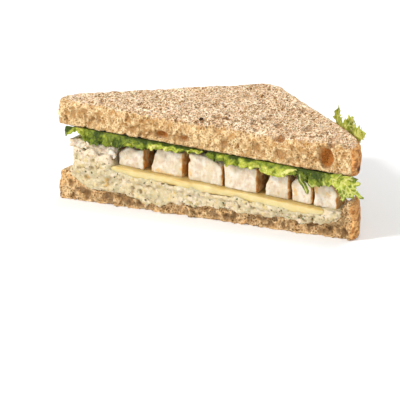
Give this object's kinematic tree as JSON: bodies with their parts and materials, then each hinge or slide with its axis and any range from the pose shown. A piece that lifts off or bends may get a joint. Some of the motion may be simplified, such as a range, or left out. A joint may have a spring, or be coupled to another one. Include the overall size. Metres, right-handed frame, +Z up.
{
  "type": "chicken sandwich half",
  "caption": "Triangular half of a brown-bread sandwich with chicken spread, cheese, diced chicken and lettuce, standing on its lower slice with the cut face forward.",
  "frame": {"origin": "on the table, under the middle of the whole", "axes": "+X along the knife cut, +Z up, and the cut face looks to -Y"},
  "size_m": [0.1566, 0.0912, 0.0499],
  "materials": {
    "bread": "matte",
    "spread": "satin",
    "cheese": "satin",
    "chicken": "matte",
    "lettuce": "satin"
  },
  "bodies": {
    "root": {"bread_lower": "bread", "bread_upper": "bread", "cheese": "cheese", "chicken_01": "chicken", "chicken_02": "chicken", "chicken_03": "chicken", "chicken_04": "chicken", "chicken_05": "chicken", "chicken_06": "chicken", "chicken_07": "chicken", "chicken_08": "chicken", "chicken_09": "chicken", "chicken_10": "chicken", "chicken_11": "chicken", "chicken_12": "chicken", "chicken_13": "chicken", "chicken_14": "chicken", "chicken_15": "chicken", "chicken_16": "chicken", "chicken_17": "chicken", "chicken_18": "chicken", "chicken_19": "chicken", "chicken_20": "chicken", "chicken_21": "chicken", "chicken_22": "chicken", "chicken_23": "chicken", "chicken_24": "chicken", "chicken_spread": "spread", "lettuce_back": "lettuce", "lettuce_left": "lettuce", "lettuce_right": "lettuce", "lettuce_sprig": "lettuce"}
  },
  "joints": []
}
